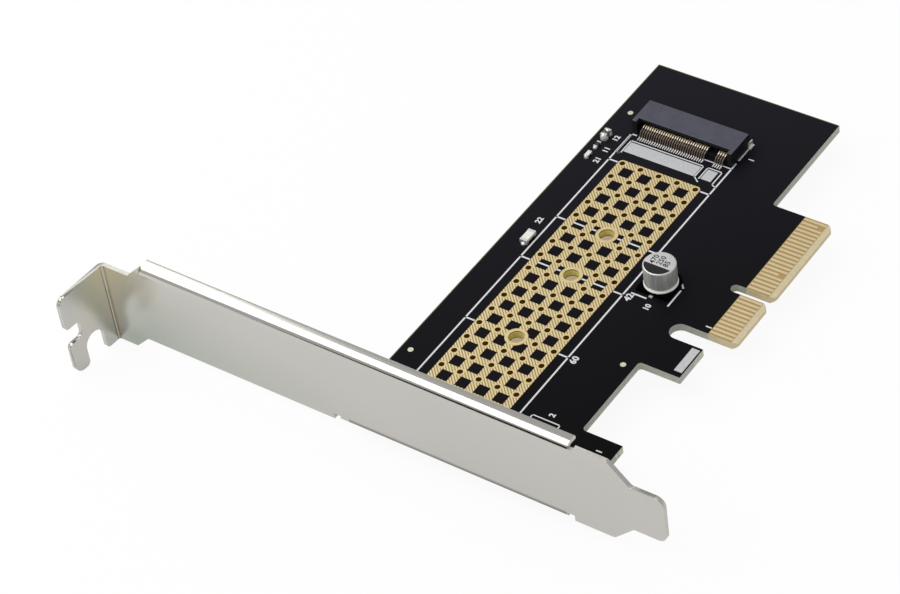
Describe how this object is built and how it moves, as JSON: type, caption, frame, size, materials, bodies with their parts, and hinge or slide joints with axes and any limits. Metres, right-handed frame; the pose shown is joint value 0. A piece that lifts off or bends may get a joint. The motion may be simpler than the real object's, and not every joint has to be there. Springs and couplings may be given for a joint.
{
  "type": "nvme adapter card",
  "caption": "Black slot card with a folded steel bracket, edge fingers, a drive module socket and a bare copper cooling field with fixing holes.",
  "frame": {"origin": "middle of the key notch, on the edge of the contact fingers, at half the board's thickness", "axes": "+X from the bracket to the far end, +Y from the contact fingers to the bracket's tab, +Z out of the component side"},
  "size_m": [0.117, 0.1208, 0.0216],
  "materials": {
    "black_solder_mask": "satin black lacquer over glass laminate",
    "plated_gold": "bare plated copper",
    "contact_gold": "thin gold over nickel",
    "socket_moulding": "fine matte",
    "spring_contact": "gold on the tips, tinned feet",
    "tinned_steel": "tinned",
    "can_aluminium": "satin sleeve-free can",
    "capacitor_plinth": "matte",
    "chip_ceramic": "fired ceramic",
    "resistor_ceramic": "glazed",
    "solder_tin": "bright solder",
    "led_resin": "clear resin over white",
    "bracket_nickel": "satin nickel plate",
    "screw_nickel": "nickel plate"
  },
  "bodies": {
    "root": {"circuit_board": "black_solder_mask", "thermal_copper": "plated_gold", "solder_mask_squares": "black_solder_mask", "front_contact_fingers": "contact_gold", "rear_contact_fingers": "contact_gold", "fiducial_marks": "plated_gold", "socket_housing": "socket_moulding", "socket_lower_contacts": "spring_contact", "socket_upper_contacts": "spring_contact", "socket_hold_downs": "tinned_steel", "capacitor_can": "can_aluminium", "capacitor_base": "capacitor_plinth", "capacitor_leads": "tinned_steel", "chip_capacitor_body": "chip_ceramic", "chip_capacitor_ends": "solder_tin", "chip_resistor_body": "resistor_ceramic", "chip_resistor_ends": "solder_tin", "indicator_led_bodies": "led_resin", "indicator_led_ends": "solder_tin", "bracket": "bracket_nickel", "bracket_screws": "screw_nickel"}
  },
  "joints": []
}
